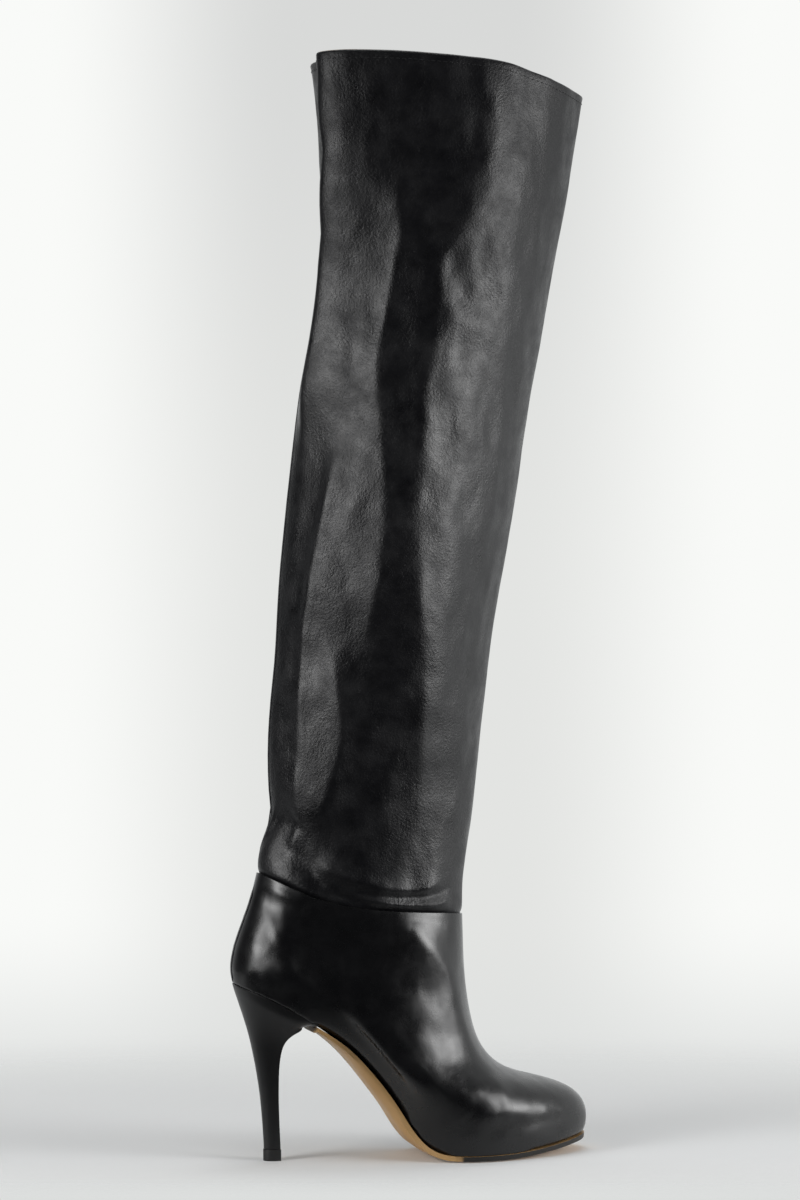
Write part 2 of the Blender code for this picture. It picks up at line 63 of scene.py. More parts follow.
# Studio
FLOOR_SIZE = 5.0
POOL_LENGTH = 0.95  # half the floor's visible length, along the picture
POOL_DEPTH = 0.62  # and half its depth
POOL_FADE = (0.25, 1.0)  # shares of those between which the floor fades out
FRONT_EDGE = (0.0, 0.16)  # where it fades out in front of the boot
FLOOR_COLOUR = "F7F8F8"
ROOM_COLOURS = ("303133", "E4E6E6")  # the dark side in front and the bright wall behind
ROOM_EDGE = (-0.25, 0.75)  # cosines of the angle from the brightest wall between them
WALL_FILL = 0.65  # share of the wall's light that reaches dull surfaces
WALL_TURN = math.radians(28)  # the brightest wall is behind the boot, a little to its front
# Painted shade on the backdrop that the camera sees: a painted shadow of the boot right behind it,
# painted shade at the top and near the floor, and its plain bright tone to the sides
BOOT_SHADOW_COLOUR = "E3E4E2"  # the backdrop right behind the boot
SHADED_TOP_COLOUR = "D8D9D8"
SIDE_COLOUR = "F9FAF8"
SHADED_LOW_COLOUR = "DCDEDD"
TOP_EDGE = (0.0, 0.17)  # how steeply up the top colour starts and is full
SIDE_EDGE = (0.03, 0.1)  # and how far sideways
LOW_EDGE = (-0.085, -0.15)  # and how steeply down
LIGHT_CORE = (2.0, 0.25)  # a softbox's strength in its middle and at its rim
LIGHT_REACH = 0.6  # share of its size from the middle to the weak rim
LIGHTS_AIM = 0.36  # height that the softboxes face

# Softboxes: side angle in degrees from the camera's side to its right, distance, height of the
# middle, width, height of the box, and radiance
SOFTBOXES = {
    "left_softbox": (-54, 1.7, 0.70, 1.0, 1.5, 4.4),
    "right_softbox": (71, 1.7, 0.54, 1.15, 1.2, 5.2),
    "top_softbox": (170, 0.5, 1.9, 1.2, 1.0, 2.0),
    "front_softbox": (0, 0.45, 2.0, 1.1, 0.8, 1.4),
}

# Sizes of the finish
COLLAR_ROLL = 1.5 * MM  # radius of the turned edge at the collar
COLLAR_ROW = 5.0 * MM  # stitch row below the collar's edge
STITCH = 2.6 * MM
STITCH_GAP = 0.9 * MM
THREAD = 0.55 * MM
RIM_ROUND = 0.5 * MM
SOLE_ROUND = 0.4 * MM
SOCK_ROUND = 0.8 * MM
TIP_ROUND = 0.3 * MM
RIM_CORNER = math.radians(76)  # the foot part's rims are sharper than this, and its waist isn't
SEAM_BAND = 2.8 * MM  # the back seam's pressed allowance, seen as a low band
SEAM_RISE = 0.45 * MM
HEEL_BAND = 4.4 * MM  # the same on the foot part
BAND_POINT = 0.34  # how fast a band widens from its pointed end, at each step
COLLAR_SQUARE = 2.2  # turns the collar's long sides in straight across the boot

# Where the folds die out: near the ankle seam, and near the foot part's lower edge
SEAM_CALM = -1.0 * MM
SEAM_EASE = 6.0 * MM
EDGE_CALM = 2.0 * MM
EDGE_EASE = 9.0 * MM
ANKLE_BACK = -96 * MM  # where the ankle seam starts and ends along the boot
ANKLE_FRONT = 31 * MM
END_GAP = 2 * MM  # the lower edge is read up to this near the toe and the heel
EDGE_READINGS = 60
SEAM_READINGS = 30
FOOT_MIDDLE = 0.0  # the line from which the foot part's folds push out to both sides
FOOT_CHANGE = 16 * MM  # how far from the middle the folds are at their full height
INNER_SHARE = 0.7  # height of the folds on the inner side
INNER_TURN = 4  # degrees by which the shaft's folds lie nearer the front there
INNER_DROP = 6  # millimetres
QUIET_SHARE = 0.3  # of the unevenness, at the very front and back of the shaft
LAYER_SHIFT = 37.7  # keeps the layers of unevenness from lining up
SOLE_CORE = 8 * MM  # half the width of the sole's middle strip, which shows how the sole runs
WALL_LIE = 0.55  # faces less level with the sole than this are its trimmed edge
TREAD_LIE = -0.3  # and faces that look down more than this are its underside
WALL_FACING = 0.35  # a shell's wall faces straight in or out more than this, its rims less
SOCK_WIDTH = 0.88  # the sock stops short of the foot part's wall
HEEL_SHOULDER = 0.055  # the heel is reshaped above this height only
HEEL_TOP_LIE = 0.3  # and what looks up more than this is its top
BREAST_START = -0.080  # from here on the heel's top is drawn up into the sole
BREAST_EASE = 12 * MM
BREAST_LIFT = 1.8 * MM
SOLE_BACK = -0.060  # where the sole starts
SOLE_EASE = 35 * MM  # and the length over which it reaches its full thickness
SOLE_THIN = 1.8 * MM  # the sole is shaved this much thinner at the heel's breast
HEEL_LIFT = 0.5 * MM  # the heel's top reaches this far into the foot part's edge

# The leathers' finish
LEATHER_IOR = 1.5
MOTTLE = 16  # size in millimetres of its cloudy patches
BROKEN_PORES = {"Detail": 3.0, "Roughness": 0.65}  # how finely the pores break up
BROKEN_CLOUDS = {"Detail": 6.0, "Roughness": 0.62}
CLOUD_RANGE = (0.3, 0.7)  # most of the clouds lie between these, of 0 to 1
FULL_SHINE = 0.5
DULL_SHARE = 0.35  # the shaft's finish loses this much shine between two heights
DULL_START = 0.47
DULL_END = 0.62

# The sole's trimmed edge: places along the boot, sizes in millimetres, and shares
INK_START = -0.005
INK_FULL = 0.055
SCUFF = 5
BROKEN_SCUFFS = {"Detail": 3.0, "Roughness": 0.6}
RUBBING = (1.4, 0.35)  # how strongly the scuffs wear the ink, and what they leave of it
INK_EDGE = (0.25, 0.5)  # between bare and inked
EDGE_SHEEN = 0.45
EDGE_DEPTH = 0.05 * MM
EDGE_COLOURS = ("BE9864", "1C1A18")

# The back seam: turn in degrees from the very back, and height
BACK_SEAM = ((12, 654), (11, 620), (9, 580), (5, 540), (1, 500), (0, 460), (0, 320), (0, 190))
HEEL_SEAM = (104, 166)  # lowest and highest point of the foot part's back seam
HEEL_SEAM_STEPS = 30
OUTSIDE = 0.05  # a line that looks for the heel seam's place starts this far behind the boot
FAR_OUT = 1.6  # and for the shaft's seam at this many times the section's half size

# Unevenness of handled leather. Each row: height, length upwards and width, in millimetres
SHAFT_UNEVENNESS = ((1.3, 55, 26), (0.85, 24, 13), (0.2, 9, 6))
FOOT_UNEVENNESS = ((0.6, 34, 26), (0.34, 13, 10), (0.1, 6, 4))

# The shaft's folds and creases. Each row: height outwards (a trough is negative), width of its
# fall towards the back, width towards the front, roundness of its top, all in millimetres, and
# its path: turn in degrees from the back seam by the outer side, and millimetres above the floor.
SHAFT_FOLDS = (
    # The long ridge down the outer side: sharp above the knee, then broad
    (2.4, 8, 14, 1.2, ((62, 600), (62, 560), (61, 520), (59, 490), (58, 465))),
    (5.0, 24, 18, 2.0, ((58, 505), (59, 470), (64, 444), (72, 400), (75, 360), (73, 330),
                        (68, 295))),
    # Behind it, on the calf: the step from the rounded back, the ridge that goes on from it, and
    # a low step still further back
    (3.5, 5, 14, 2.0, ((42, 430), (38, 385), (34, 345), (32, 320), (32, 290))),
    (4.5, 20, 10, 2.0, ((48, 318), (58, 283), (63, 259), (62, 241), (55, 217), (46, 194))),
    (2.2, 5, 8, 2.0, ((32, 318), (33, 288), (36, 252), (36, 222), (37, 196), (38, 176))),
    # The front ridge, from which on the outer side turns to the front and the right hand light
    (6.0, 26, 26, 3, ((96, 700), (96, 640), (94, 576), (84, 540), (85, 504), (83, 468), (85, 432),
                      (88, 396), (92, 360), (98, 324), (104, 288), (107, 252), (110, 222),
                      (118, 180))),
    # The back is drawn in a little behind the knee
    (-3.2, 14, 14, 6, ((0, 720), (0, 660), (0, 600), (0, 550), (0, 480))),
    # Rucks at the knee
    (-1.3, 5, 9, 4, ((88, 520), (104, 512), (122, 516))),
    (0.9, 6, 8, 4, ((86, 508), (102, 500), (120, 503))),
    (-1.0, 5, 8, 4, ((92, 487), (108, 482), (124, 484))),
    (-0.8, 5, 7, 3, ((108, 455), (122, 444), (136, 430))),
    # Lower shaft: the fold from the heel side to the ankle seam, and the rolls over the seam
    (-2.4, 7, 5, 3.5, ((8, 196), (30, 188), (46, 181), (64, 165), (80, 156), (98, 151))),
    (2.1, 3.5, 3.5, 1.5, ((54, 183), (65, 176), (76, 171), (101, 164), (122, 164), (142, 172))),
    (-1.3, 2.5, 2.5, 1.5, ((70, 166), (90, 160), (120, 159), (146, 163))),
    (1.6, 2.5, 2.5, 1.5, ((76, 161), (88, 158), (106, 154), (132, 154), (146, 159))),
    (-1.8, 8, 8, 6, ((6, 205), (24, 200), (40, 208))),
)

# Under the collar the outer side alone is nearly flat, in front of a blunt back corner
OUTER_FOLDS = (
    (10.0, 6, 20, 3, ((24, 800), (24, 640), (23, 590), (21, 550), (19, 500), (16, 460), (14, 415))),
)

# The foot part's folds, in the same way, on paths of millimetres along the boot and above the floor
FOOT_FOLDS = (
    # The ridge along which the instep turns to the front, down to the vamp
    (5.0, 26, 12, 3, ((-30, 158), (-8, 138), (11, 120), (19, 106), (23, 90), (29, 75), (38, 57),
                      (46, 42), (58, 30))),
    # The step at the throat, up to the toe's stiff cap
    (2.2, 10, 70, 2, ((42, 64), (46, 50), (49, 37), (50, 20))),
    # Faint creases on the quarter
    (0.8, 6, 4, 3, ((-70, 128), (-58, 114), (-44, 98), (-34, 86))),
    (-0.7, 5, 7, 3, ((-62, 128), (-50, 112), (-36, 98))),
    # The counter's soft back ridge
    (2.6, 14, 12, 4, ((-86, 176), (-85, 160), (-84, 140), (-83, 120), (-82, 100))),
    # Dents behind the ankle
    (-0.8, 5, 5, 3, ((-96, 152), (-82, 155), (-68, 150))),
    (0.6, 5, 5, 3, ((-94, 138), (-82, 142), (-70, 140))),
)

# The corner where the foot part turns under at the waist: millimetres along and above the floor
WAIST_CORNER = ((-56, 90), (-48, 86), (-32, 74), (-22, 62), (-8, 43), (2, 32))
WAIST_REACH = 12 * MM
WAIST_ROUNDS = 60


def linear(colour):
    """An sRGB hex colour as the linear RGBA that a shader takes."""
    parts = [int(colour[i : i + 2], 16) / 255 for i in (0, 2, 4)]
    return (*[p / 12.92 if p <= 0.04045 else ((p + 0.055) / 1.055) ** 2.4 for p in parts], 1.0)


def per_metre(millimetres):
    """The scale of a pattern whose cells are this many millimetres across."""
    return 1000 / millimetres


def smooth(share):
    """A share from 0 to 1 that starts and ends gently."""
    share = np.clip(share, 0, 1)
    return share * share * (3 - 2 * share)


def node(tree, kind, sockets=None, **settings):
    """Adds a node. A socket takes a value, or another node's output."""
    made = tree.nodes.new(kind)
    for name, value in settings.items():
        setattr(made, name, value)
    for key, value in (sockets or {}).items():
        if isinstance(value, bpy.types.NodeSocket):
            tree.links.new(value, made.inputs[key])
        else:
            made.inputs[key].default_value = value
    return made


def new_material(name):
    material = bpy.data.materials.new(name)
    material.use_nodes = True
    material.node_tree.nodes.clear()
    return material, material.node_tree


def close_material(tree, shader):
    node(tree, "ShaderNodeOutputMaterial", {"Surface": shader.outputs[0]})


def grained_leather(
    name, colours, roughness, coat, grain, grain_depth, wave, wave_depth, dull_top=False
):
    """Leather with a pore grain, soft waves and a finish that varies, all in millimetres. The
    roughness is that of its shiniest and dullest patches, the coat is its weight and roughness."""
    material, tree = new_material(name)
    place = node(tree, "ShaderNodeTexCoord").outputs["Object"]
    waves = node(
        tree, "ShaderNodeTexNoise", {"Vector": place, "Scale": per_metre(wave), "Detail": 1.0}
    )
    pores = node(
        tree,
        "ShaderNodeTexNoise",
        {"Vector": place, "Scale": per_metre(grain), **BROKEN_PORES},
    )
    cloudy = node(
        tree,
        "ShaderNodeTexNoise",
        {"Vector": place, "Scale": per_metre(MOTTLE), **BROKEN_CLOUDS},
    )
    tone = node(
        tree,
        "ShaderNodeMix",
        {"Factor": cloudy.outputs["Fac"], 6: linear(colours[0]), 7: linear(colours[1])},
        data_type="RGBA",
    )
    finish = node(
        tree,
        "ShaderNodeMapRange",
        {"Value": cloudy.outputs["Fac"], "From Min": CLOUD_RANGE[0], "From Max": CLOUD_RANGE[1],
         "To Min": roughness[0], "To Max": roughness[1]},
    )
    soft = node(
        tree,
        "ShaderNodeBump",
        {"Height": waves.outputs["Fac"], "Distance": wave_depth * MM, "Strength": 1.0},
    )
    fine = node(
        tree,
        "ShaderNodeBump",
        {"Height": pores.outputs["Fac"], "Distance": grain_depth * MM, "Strength": 1.0,
         "Normal": soft.outputs["Normal"]},
    )
    shader = node(
        tree,
        "ShaderNodeBsdfPrincipled",
        {"Base Color": tone.outputs[2], "Roughness": finish.outputs["Result"],
         "IOR": LEATHER_IOR, "Coat Weight": coat[0], "Coat Roughness": coat[1],
         "Normal": fine.outputs["Normal"]},
    )
    if dull_top:
        height = node(tree, "ShaderNodeSeparateXYZ", {"Vector": place}).outputs["Z"]
        shine = node(
            tree,
            "ShaderNodeMapRange",
            {"Value": height, "From Min": DULL_START, "From Max": DULL_END,
             "To Min": FULL_SHINE, "To Max": FULL_SHINE * (1 - DULL_SHARE)},
            interpolation_type="SMOOTHSTEP",
        )
        tree.links.new(shine.outputs["Result"], shader.inputs["Specular IOR Level"])
    close_material(tree, shader)
    return material


def milled_nappa():
    """Drum-dyed nappa, lightly milled: a soft broken shine with a fine grain, duller where the
    top has been handled. The pores are drawn coarser than they are, so that they show."""
    return grained_leather(
        "milled_nappa", colours=("0C0C0E", "121215"), roughness=(0.25, 0.52), coat=(0.0, 0.2),
        grain=1.5, grain_depth=0.3, wave=9, wave_depth=0.24, dull_top=True,
    )


def polished_calf():
    """Box calf with a glazed, polished face: clear highlights over a nearly smooth grain."""
    return grained_leather(
        "polished_calf", colours=("0A0A0B", "0E0E10"), roughness=(0.2, 0.38), coat=(0.2, 0.1),
        grain=1.2, grain_depth=0.05, wave=8, wave_depth=0.12,
    )


def heel_calf():
    """The same calf stretched over the heel block, with its grain pulled flat."""
    return grained_leather(
        "heel_calf", colours=("0C0C0D", "111112"), roughness=(0.36, 0.44), coat=(0.0, 0.25),
        grain=0.9, grain_depth=0.02, wave=15, wave_depth=0.04,
    )


def vegetable_tanned_sole():
    """Vegetable-tanned sole leather, sanded and waxed: warm tan with faint cloudy shade."""
    return grained_leather(
        "vegetable_tanned_sole", colours=("C6A06C", "B98F5B"), roughness=(0.42, 0.55), coat=(0.1, 0.3),
        grain=0.7, grain_depth=0.03, wave=20, wave_depth=0.05,
    )


def worn_sole_edge():
    """The sole's trimmed edge: inked black and burnished at the toe, worn to bare leather under
    the ball, and left tan along the waist."""
    material, tree = new_material("worn_sole_edge")
    place = node(tree, "ShaderNodeTexCoord").outputs["Object"]
    along = node(tree, "ShaderNodeSeparateXYZ", {"Vector": place}).outputs["X"]
    scuffs = node(
        tree,
        "ShaderNodeTexNoise",
        {"Vector": place, "Scale": per_metre(SCUFF), **BROKEN_SCUFFS},
    ).outputs["Fac"]
    ink = node(
        tree,
        "ShaderNodeMapRange",
        {"Value": along, "From Min": INK_START, "From Max": INK_FULL},
        interpolation_type="SMOOTHERSTEP",
    ).outputs["Result"]
    rubbing = node(
        tree, "ShaderNodeMath", {0: scuffs, 1: RUBBING[0], 2: RUBBING[1]}, operation="MULTIPLY_ADD"
    ).outputs[0]
    worn = node(tree, "ShaderNodeMath", {0: ink, 1: rubbing}, operation="MULTIPLY").outputs[0]
    cover = node(
        tree,
        "ShaderNodeMapRange",
        {"Value": worn, "From Min": INK_EDGE[0], "From Max": INK_EDGE[1]},
    ).outputs["Result"]
    tone = node(
        tree,
        "ShaderNodeMix",
        {"Factor": cover, 6: linear(EDGE_COLOURS[0]), 7: linear(EDGE_COLOURS[1])},
        data_type="RGBA",
    )
    rubbed = node(tree, "ShaderNodeBump", {"Height": scuffs, "Distance": EDGE_DEPTH, "Strength": 1.0})
    shader = node(
        tree,
        "ShaderNodeBsdfPrincipled",
        {"Base Color": tone.outputs[2], "Roughness": EDGE_SHEEN, "IOR": LEATHER_IOR,
         "Normal": rubbed.outputs["Normal"]},
    )
    close_material(tree, shader)
    return material


def goat_lining():
    """Pale goatskin lining, dull, with a fine pebble."""
    return grained_leather(
        "goat_lining", colours=("B79A78", "A98B69"), roughness=(0.6, 0.72), coat=(0.0, 0.3),
        grain=1.0, grain_depth=0.06, wave=14, wave_depth=0.12,
    )


def moulded_rubber():
    """Hard moulded rubber of the top lift, dull black."""
    return grained_leather(
        "moulded_rubber", colours=("111111", "171717"), roughness=(0.5, 0.6), coat=(0.0, 0.3),
        grain=0.6, grain_depth=0.02, wave=8, wave_depth=0.02,
    )


def waxed_thread():
    """Waxed polyester thread, black, with a slight sheen along each stitch."""
    return grained_leather(
        "waxed_thread", colours=("101012", "18181B"), roughness=(0.35, 0.45), coat=(0.0, 0.3),
        grain=0.4, grain_depth=0.05, wave=3, wave_depth=0.05,
    )


def merged_copy(name):
    """A node's mesh as a clean cage of quads."""
    bm = bmesh.new()
    bm.from_mesh(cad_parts[name].data)
    bmesh.ops.remove_doubles(bm, verts=bm.verts, dist=0.01 * MM)
    bmesh.ops.join_triangles(
        bm,
        faces=bm.faces,
        cmp_seam=False,
        cmp_sharp=False,
        cmp_uvs=False,
        cmp_vcols=False,
        cmp_materials=False,
        angle_face_threshold=math.radians(45),
        angle_shape_threshold=math.radians(150),
    )
    return bm


def crease_corners(bm, angle=math.radians(55)):
    """Keeps the cage's real corners sharp where it is smoothed."""
    crease = bm.edges.layers.float.new("crease_edge")
    for edge in bm.edges:
        if len(edge.link_faces) == 2 and edge.calc_face_angle(0.0) > angle:
            edge[crease] = 1.0


def smoothed(bm, levels):
    """The cage's smooth surface as a new bmesh. The cage is used up."""
    mesh = bpy.data.meshes.new("cage")
    bm.to_mesh(mesh)
    bm.free()
    cage = bpy.data.objects.new("cage", mesh)
    bpy.context.scene.collection.objects.link(cage)
    subdivision = cage.modifiers.new("Smooth", "SUBSURF")
    subdivision.levels = levels
    subdivision.render_levels = levels
    graph = bpy.context.evaluated_depsgraph_get()
    fine = bpy.data.meshes.new_from_object(cage.evaluated_get(graph))
    bpy.data.objects.remove(cage)
    bpy.data.meshes.remove(mesh)
    result = bmesh.new()
    result.from_mesh(fine)
    bpy.data.meshes.remove(fine)
    return result


def positions(bm):
    """Every point of a bmesh, as rows."""
    return np.array([vert.co for vert in bm.verts])


def put_back(bm, points):
    for vert, point in zip(bm.verts, points):
        vert.co = point


def finished(name, bm, materials, slot, *nodes):
    """Makes the piece's object and puts it on its body, hiding the nodes that it stands for. The slot
    is not used.
    """
    mesh = bpy.data.meshes.new(name)
    bm.to_mesh(mesh)
    bm.free()
    for material in materials:
        mesh.materials.append(material)
    mesh.shade_smooth()
    piece = bpy.data.objects.new(name, mesh)
    bpy.context.scene.collection.objects.link(piece)
    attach(piece, "root")
    if nodes:
        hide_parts(*nodes)
    return piece


def round_rims(piece, width, segments=3):
    bevel = piece.modifiers.new("Rounded rims", "BEVEL")
    bevel.width = width
    bevel.segments = segments
    bevel.limit_method = "ANGLE"
    bevel.angle_limit = math.radians(50)
    bevel.harden_normals = False


def foot_lines():
    """The foot part's lower edge and its top edge, the ankle seam: places and heights of each."""
    low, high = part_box("upper")
    shell = smoothed(merged_copy("upper"), 1)
    points = positions(shell)
    shell.free()
    edge = profile(points, np.min, low[0] + END_GAP, high[0] - END_GAP, EDGE_READINGS)
    seam = profile(points, np.max, ANKLE_BACK, ANKLE_FRONT, SEAM_READINGS)
    return edge, seam


class ShaftMap:
    """Where a point lies on the shaft: its way round from the back seam, and its height."""

    BAND = 6 * MM
    LOWEST = 176 * MM
    HIGHEST = 638 * MM
    CALM = np.array((1, 2, 3, 2, 1)) / 9
    SLIMNESS = 1.6  # the section's length by its width

    def __init__(self, points):
        self.heights = np.arange(self.LOWEST, self.HIGHEST, self.BAND)
        sides = []
        for height in self.heights:
            near = points[np.abs(points[:, 2] - height) < self.BAND / 2]
            sides.append((near[:, 0].min(), near[:, 0].max(), near[:, 1].max()))
        ends = len(self.CALM) // 2
        sides = [np.pad(side, ends, "edge") for side in np.array(sides).T]
        self.backs, self.fronts, self.halves = [
            np.convolve(side, self.CALM, "valid") for side in sides
        ]
        steps = np.radians(np.arange(0, 361, 3))
        runs = np.hypot(self.SLIMNESS * np.sin(steps), np.cos(steps))
        self.turns = steps
        self.shares = np.concatenate([[0], np.cumsum((runs[1:] + runs[:-1]) / 2)])
        self.shares = self.shares / self.shares[-1]

    def girth(self, heights):
        length = np.interp(heights, self.heights, self.fronts - self.backs)
        half = np.interp(heights, self.heights, self.halves)
        return math.pi * (length / 2 + half)

    def around(self, turns, heights):
        """Way round in metres at these turns and heights."""
        return np.interp(turns, self.turns, self.shares) * self.girth(heights)

    def turn(self, point):
        """Angle of one point from the back seam by the outer side."""
        middle = np.interp(point[2], self.heights, (self.backs + self.fronts) / 2)
        return math.atan2(-point[1], middle - point[0]) % (2 * math.pi)

    def read(self, points):
        """Way round and outward direction of each point."""
        heights = points[:, 2]
        backs = np.interp(heights, self.heights, self.backs)
        fronts = np.interp(heights, self.heights, self.fronts)
        halves = np.interp(heights, self.heights, self.halves)
        x = (points[:, 0] - (backs + fronts) / 2) / ((fronts - backs) / 2)
        y = points[:, 1] / halves
        turns = np.arctan2(-y, -x) % (2 * math.pi)
        outward = np.stack([x / (fronts - backs) * 2, y / halves, np.zeros_like(x)], axis=1)
        outward /= np.linalg.norm(outward, axis=1, keepdims=True)
        return self.around(turns, heights), outward


def profile(points, reduce, start, end, count):
    """The lowest or highest line of some points along the boot: places and heights."""
    places = np.linspace(start, end, count)
    reach = (end - start) / count
    near = [points[np.abs(points[:, 0] - place) < reach, 2] for place in places]
    return places, np.array([reduce(heights) for heights in near])


def unevenness(points, layers):
    """Small rises and dips of a worn skin. Each layer: height, length upwards, width, in mm."""
    relief = np.zeros(len(points))
    for number, (height, length, width) in enumerate(layers):
        scaled = points / MM / (width, width, length) + number * LAYER_SHIFT
        relief += [height * MM * noise.noise(place) for place in scaled.tolist()]
    return relief


def smooth_path(points, steps=6):
    """A smooth path through points, as a close polyline."""
    points = np.asarray(points, float)
    padded = np.vstack([2 * points[0] - points[1], points, 2 * points[-1] - points[-2]])
    shares = np.arange(steps)[:, None] / steps
    parts = []
    for a, b, c, d in zip(padded, padded[1:], padded[2:], padded[3:]):
        parts.append(
            b + (c - a) / 2 * shares
            + (a - 2.5 * b + 2 * c - d / 2) * shares**2
            + (1.5 * (b - c) + (d - a) / 2) * shares**3
        )
    return np.vstack(parts + [points[-1:]])


def fold_relief(flat, path, back, front, roundness, taper=0.22):
    """A fold's height, from 0 to 1, at flat side view points. Its path runs down, or forwards."""
    best = np.full(len(flat), np.inf)
    side = np.zeros(len(flat))
    along = np.zeros(len(flat))
    count = len(path) - 1
    for i, (start, end) in enumerate(zip(path, path[1:])):
        way = end - start
        offset = flat - start
        share = np.clip(offset @ way / (way @ way), 0, 1)
        gap = offset - share[:, None] * way
        distance = np.hypot(gap[:, 0], gap[:, 1])
        closer = distance < best
        best = np.where(closer, distance, best)
        cross = way[0] * offset[:, 1] - way[1] * offset[:, 0]
        side = np.where(closer, cross, side)
        along = np.where(closer, (i + share) / count, along)
    width = np.where(side > 0, front, back)
    fall = (np.sqrt(best**2 + roundness**2) - roundness) / width
    return np.exp(-fall) * smooth(np.minimum(along, 1 - along) / taper)


def both_sides(folds):
    """The outer side's folds, then shallower ones like them on the inner side, a little lower."""
    inner = []
    for height, back, front, roundness, path in folds:
        moved = [(360 - turn - INNER_TURN, level - INNER_DROP) for turn, level in path]
        inner.append((height * INNER_SHARE, front, back, roundness, moved))
    return list(folds) + inner


def fold_shaft(points, shaft_map):
    """Moves points of the shaft by its folds, which die out at the ankle seam."""
    around, outward = shaft_map.read(points)
    relief = np.zeros(len(points))
    for height, back, front, roundness, path in both_sides(SHAFT_FOLDS) + list(OUTER_FOLDS):
        rows = np.array(path, float)
        heights = rows[:, 1] * MM
        line = np.stack([shaft_map.around(np.radians(rows[:, 0]), heights), heights], axis=1)
        girth = shaft_map.girth(points[:, 2])
        turns = np.round((line[:, 0].mean() - around) / girth)
        flat = np.stack([around + turns * girth, points[:, 2]], axis=1)
        relief += height * MM * fold_relief(
            flat, smooth_path(line), back * MM, front * MM, roundness * MM
        )
    sideways = QUIET_SHARE + (1 - QUIET_SHARE) * np.abs(outward[:, 1])
    relief += unevenness(points, SHAFT_UNEVENNESS) * sideways
    seam = np.interp(points[:, 0], *SEAM_LINE)
    calm = smooth((points[:, 2] - seam - SEAM_CALM) / SEAM_EASE)
    return points + (relief * calm)[:, None] * outward


def fold_foot(points):
    """Moves points of the foot part by its folds: outwards on both sides, and less on the inner."""
    flat = points[:, [0, 2]]
    relief = unevenness(points, FOOT_UNEVENNESS)
    outer = smooth((FOOT_MIDDLE - points[:, 1]) / FOOT_CHANGE + 0.5)
    for height, back, front, roundness, path in FOOT_FOLDS:
        line = smooth_path(np.array(path, float) * MM)
        fold = height * MM * fold_relief(flat, line, back * MM, front * MM, roundness * MM)
        relief += fold * (INNER_SHARE + (1 - INNER_SHARE) * outer)
    above = points[:, 2] - np.interp(points[:, 0], *LASTED_EDGE)
    below = np.interp(points[:, 0], *SEAM_LINE) - points[:, 2]
    below = np.where(points[:, 0] > ANKLE_FRONT, EDGE_EASE, below)
    calm = smooth((above - EDGE_CALM) / EDGE_EASE) * smooth(below / EDGE_EASE)
    sideways = np.clip((points[:, 1] - FOOT_MIDDLE) / FOOT_CHANGE, -1, 1)
    moved = points.copy()
    moved[:, 1] += relief * calm * sideways
    return moved


def shell_side(bm, outer, middle):
    """Deletes all but the outer or the inner wall of a shell round a middle line."""
    unwanted = []
    for face in bm.faces:
        centre = face.calc_center_median()
        away = centre - middle(centre)
        away.z = 0
        facing = face.normal.dot(away.normalized())
        if (facing < WALL_FACING) if outer else (facing > -WALL_FACING):
            unwanted.append(face)
    bmesh.ops.delete(bm, geom=unwanted, context="FACES")


def border_loops(bm):
    """The open borders, each as a list of edges, lowest first."""
    left = {edge for edge in bm.edges if edge.is_boundary}
    loops = []
    while left:
        edge = left.pop()
        loop = [edge]
        grown = True
        while grown:
            grown = False
            for vert in loop[-1].verts:
                for near in vert.link_edges:
                    if near in left:
                        left.discard(near)
                        loop.append(near)
                        grown = True
                        break
                if grown:
                    break
        loops.append(loop)
    return sorted(loops, key=lambda loop: sum(e.verts[0].co.z for e in loop) / len(loop))


def roll_edge(bm, loop, inward, radius, steps=5):
    """Turns a border over inwards in a half round, and returns the new border."""
    verts = list({vert for edge in loop for vert in edge.verts})
    starts = {vert: (vert.co.copy(), inward(vert.co)) for vert in verts}
    for i in range(1, steps + 1):
        turn = math.pi * i / steps
        made = bmesh.ops.extrude_edge_only(bm, edges=loop)["geom"]
        new_verts = [item for item in made if isinstance(item, bmesh.types.BMVert)]
        next_starts = {}
        for vert in new_verts:
            base = min(
                (edge.other_vert(vert) for edge in vert.link_edges if edge.other_vert(vert) in starts),
                key=lambda other: (other.co - vert.co).length,
            )
            start, way = starts[base]
            next_starts[vert] = (start, way)
            lift = Vector((0, 0, radius * math.sin(turn)))
            vert.co = start + way * radius * (1 - math.cos(turn)) + lift
        starts = next_starts
        loop = [
            item for item in made if isinstance(item, bmesh.types.BMEdge) and item.is_boundary
        ]
    return loop


def add_band(bm, places, sides, ups, width, height, around=10):
    """A low rounded band along places on the skin, closed to a point at both ends."""
    steps = len(places) - 1
    made = bmesh.ops.create_grid(bm, x_segments=steps, y_segments=around, size=0.5)["verts"]
    for vert in made:
        i = round((vert.co.x + 0.5) * steps)
        turn = (vert.co.y + 0.5) * 2 * math.pi
        slim = min(1.0, BAND_POINT * min(i, steps - i))
        across = sides[i] * (width / 2 * math.cos(turn)) + ups[i] * (height * math.sin(turn))
        vert.co = places[i] + slim * across
    bmesh.ops.remove_doubles(bm, verts=made, dist=0.001 * MM)


def spaced(places, pitch):
    """Points this far apart along a polyline, and the way on at each."""
    places = np.array(places)
    runs = np.concatenate([[0], np.cumsum(np.linalg.norm(np.diff(places, axis=0), axis=1))])
    count = max(2, round(runs[-1] / pitch))
    stops = (np.arange(count) + 0.5) * runs[-1] / count
    at, on, before = [
        [np.array([np.interp(stop + shift, runs, places[:, i]) for i in range(3)]) for stop in stops]
        for shift in (0, pitch / 3, -pitch / 3)
    ]
    return [(Vector(p), Vector(a - b).normalized()) for p, a, b in zip(at, on, before)]


